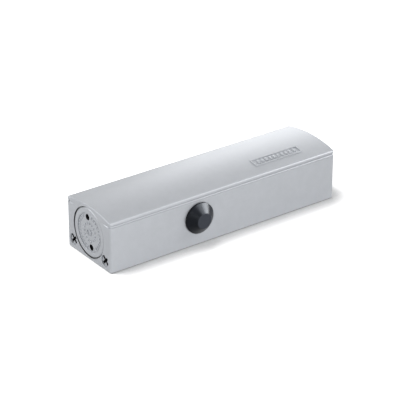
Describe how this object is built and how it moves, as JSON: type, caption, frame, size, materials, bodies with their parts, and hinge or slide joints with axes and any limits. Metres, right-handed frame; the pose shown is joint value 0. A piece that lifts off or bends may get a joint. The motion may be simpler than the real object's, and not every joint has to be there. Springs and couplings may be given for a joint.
{
  "type": "overhead door closer",
  "caption": "Surface-mounted hydraulic door closer body with rack-and-pinion drive, nested closing springs, two regulating valves and a covered lower pinion end.",
  "frame": {"origin": "foot of the pinion's axis on the flat mounting face", "axes": "+X along the body towards the spring end, +Y along the pinion towards its bare square end, +Z out of the mounting face towards the crowned front"},
  "size_m": [0.22, 0.0728, 0.0471],
  "materials": {
    "powder_coat": "fine satin silver powder coat on an aluminium casting",
    "black_plastic": "gloss black cone with a matt top",
    "machined_steel": "turned and ground, lightly oiled",
    "spring_steel": "dark oil-tempered spring steel",
    "plated_screw": "satin zinc plate",
    "seal_rubber": "matt moulded rubber",
    "bearing_bronze": "satin bearing bronze",
    "valve_brass": "turned brass"
  },
  "bodies": {
    "closer_body": {"housing": "powder_coat", "end_plug": "powder_coat", "spring_end_plug": "powder_coat", "plug_seals": "seal_rubber", "pinion_bushes": "bearing_bronze", "shaft_seals": "seal_rubber", "retaining_rings": "spring_steel", "pinion_cap": "black_plastic", "filler_plug": "machined_steel", "thrust_washer": "bearing_bronze", "outer_closing_spring": "spring_steel", "inner_closing_spring": "spring_steel"},
    "pinion": {"pinion_shaft": "machined_steel"},
    "piston": {"piston": "machined_steel", "piston_seal": "seal_rubber", "piston_guide_ring": "bearing_bronze", "check_valve_insert": "valve_brass", "relief_valve": "valve_brass"},
    "check_ball": {"check_ball": "machined_steel"},
    "spring_plate": {"spring_plate": "machined_steel"},
    "adjuster": {"adjusting_spindle": "machined_steel", "spindle_seal": "seal_rubber"},
    "closing_valve": {"closing_speed_valve": "plated_screw", "closing_valve_seal": "seal_rubber"},
    "latching_valve": {"latching_speed_valve": "plated_screw", "latching_valve_seal": "seal_rubber"}
  },
  "joints": [
    {"name": "piston_travel", "type": "slide", "parent": "closer_body", "child": "piston", "axis": [1, 0, 0], "range_m": [0, 0.0314], "stiffness_N_per_m": 150, "springref_m": -0.02, "deforming": ["outer_closing_spring", "inner_closing_spring"]},
    {"name": "pinion_turn", "type": "hinge", "parent": "closer_body", "child": "pinion", "pos_m": [0, 0, 0.0235], "axis": [0, 1, 0], "range_deg": [0, 180]},
    {"name": "check_ball_lift", "type": "slide", "parent": "piston", "child": "check_ball", "axis": [-1, 0, 0], "range_m": [0, 0.001]},
    {"name": "adjuster_turn", "type": "hinge", "parent": "closer_body", "child": "adjuster", "pos_m": [0.12, 0, 0.0235], "axis": [-1, 0, 0], "range_deg": [0, 1800]},
    {"name": "spring_plate_travel", "type": "slide", "parent": "closer_body", "child": "spring_plate", "axis": [-1, 0, 0], "range_m": [0, 0.01]},
    {"name": "closing_valve_turn", "type": "hinge", "parent": "closer_body", "child": "closing_valve", "pos_m": [-0.0834, -0.022, 0.00846], "axis": [1, 0, 0], "range_deg": [-360, 360]},
    {"name": "latching_valve_turn", "type": "hinge", "parent": "closer_body", "child": "latching_valve", "pos_m": [-0.0834, 0.022, 0.00846], "axis": [1, 0, 0], "range_deg": [-360, 360]}
  ],
  "couplings": [
    {"joint": "pinion_turn", "follows": "piston_travel", "rad_per_m": 100},
    {"joint": "adjuster_turn", "follows": "spring_plate_travel", "rad_per_m": 3141.5}
  ]
}
